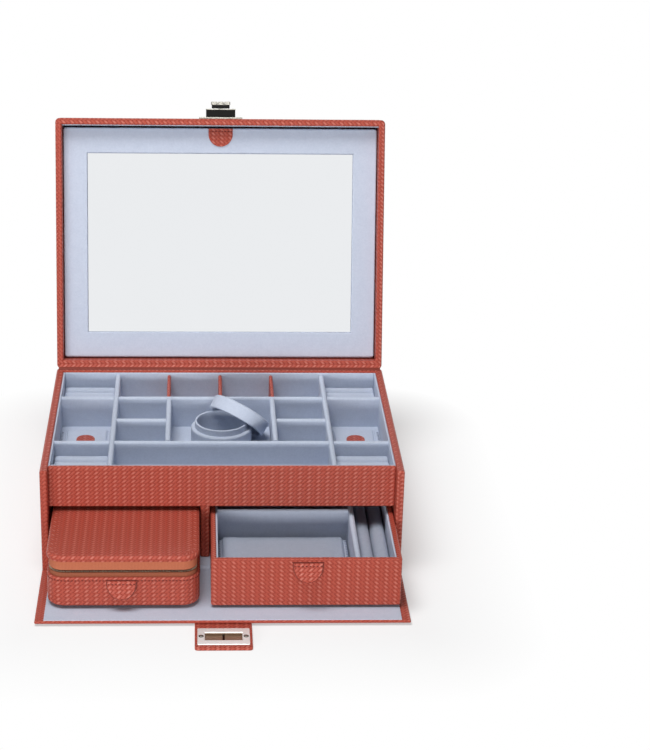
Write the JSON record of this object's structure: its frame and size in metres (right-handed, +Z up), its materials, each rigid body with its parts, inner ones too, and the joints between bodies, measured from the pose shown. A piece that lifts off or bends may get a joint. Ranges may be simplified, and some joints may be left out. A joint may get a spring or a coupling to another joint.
{
  "type": "jewelry case",
  "caption": "Leather jewelry case with a hinged mirror lid, a fold-down front with turn lock, a divided suede tray, a drawer, a zip travel case and a round capsule box.",
  "frame": {"origin": "on the carcass's underside, halfway between its sides and 108 mm in front of the outside of its back", "axes": "+X to the right seen from the front, +Y to the back, +Z up"},
  "size_m": [0.29, 0.4178, 0.3169],
  "materials": {
    "leather": "terracotta leather with an embossed herringbone",
    "suede": "periwinkle blue suede cloth",
    "nickel": "polished nickel",
    "brass": "plain brass",
    "mirror": "silvered glass",
    "zip_tape": "woven tan zip tape"
  },
  "bodies": {
    "carcass": {"left_wall": "leather", "right_wall": "leather", "back_wall": "leather", "base_board": "leather", "base_lining": "suede", "front_rail": "leather", "tray_floor": "leather", "centre_post": "leather", "tray_liner": "suede", "tray_long_dividers": "suede", "tray_cross_dividers": "suede", "tray_short_dividers": "suede", "leather_dividers": "leather", "ring_pads": "suede", "pouch_left": "suede", "pouch_tab_left": "leather", "pouch_right": "suede", "pouch_tab_right": "leather", "hinge_leaves_carcass": "brass", "hinge_pins": "brass"},
    "lid": {"lid_top_panel": "leather", "lid_front_rim": "leather", "lid_back_rim": "leather", "lid_left_rim": "leather", "lid_right_rim": "leather", "lid_lining": "suede", "hinge_leaves_lid": "brass", "trim_bar": "nickel", "lock_plate": "nickel", "lock_block": "nickel"},
    "mirror_door": {"mirror_frame": "suede", "mirror_glass": "mirror", "mirror_back": "suede", "mirror_tab": "leather", "mirror_pins": "brass"},
    "turn_lock": {"lock_knob": "nickel", "lock_spindle": "nickel"},
    "flap": {"flap_board": "leather", "flap_lining": "suede", "flap_strap": "leather"},
    "strap_end": {"lock_tab": "leather", "escutcheon": "nickel", "escutcheon_screws": "nickel"},
    "drawer": {"drawer_front": "leather", "drawer_back": "leather", "drawer_sides": "leather", "drawer_floor": "leather", "drawer_liner": "suede", "drawer_dividers": "suede", "drawer_ring_rolls": "suede", "drawer_pouch": "suede", "drawer_tab": "leather"},
    "travel_case": {"travel_body": "leather", "travel_zip": "zip_tape", "travel_lid": "leather", "travel_zip_slider": "brass", "travel_tab": "leather"},
    "capsule": {"capsule_box": "leather"},
    "capsule_cover": {"capsule_lid": "leather"}
  },
  "joints": [
    {"name": "lid_hinge", "type": "hinge", "parent": "carcass", "child": "lid", "pos_m": [0, 0.1076, 0.091], "axis": [-1, 0, 0], "range_deg": [-104.7, 0]},
    {"name": "mirror_pivot", "type": "hinge", "parent": "lid", "child": "mirror_door", "pos_m": [0, 0.12516, 0.09684], "axis": [1, 0, 0], "range_deg": [0, 60]},
    {"name": "lock_turn", "type": "hinge", "parent": "lid", "child": "turn_lock", "pos_m": [0, 0.17725, 0.30131], "axis": [0, 0.2538, 0.9673], "range_deg": [0, 90]},
    {"name": "flap_hinge", "type": "hinge", "parent": "carcass", "child": "flap", "pos_m": [0, -0.10505, 0.0046], "axis": [1, 0, 0], "range_deg": [-2, 0]},
    {"name": "strap_fold", "type": "hinge", "parent": "flap", "child": "strap_end", "pos_m": [0, -0.19015, 0.0027], "axis": [1, 0, 0], "range_deg": [-90, 0]},
    {"name": "drawer_slide", "type": "slide", "parent": "carcass", "child": "drawer", "axis": [0, -1, 0], "range_m": [-0.0645, 0.055]},
    {"name": "travel_case_slide", "type": "slide", "parent": "carcass", "child": "travel_case", "axis": [0, -1, 0], "range_m": [-0.065, 0.06]},
    {"name": "capsule_lift", "type": "slide", "parent": "carcass", "child": "capsule", "axis": [0, 0, 1], "range_m": [0, 0.03]},
    {"name": "capsule_cover_lift", "type": "slide", "parent": "capsule", "child": "capsule_cover", "axis": [0, 0, 1], "range_m": [0, 0.025]}
  ]
}
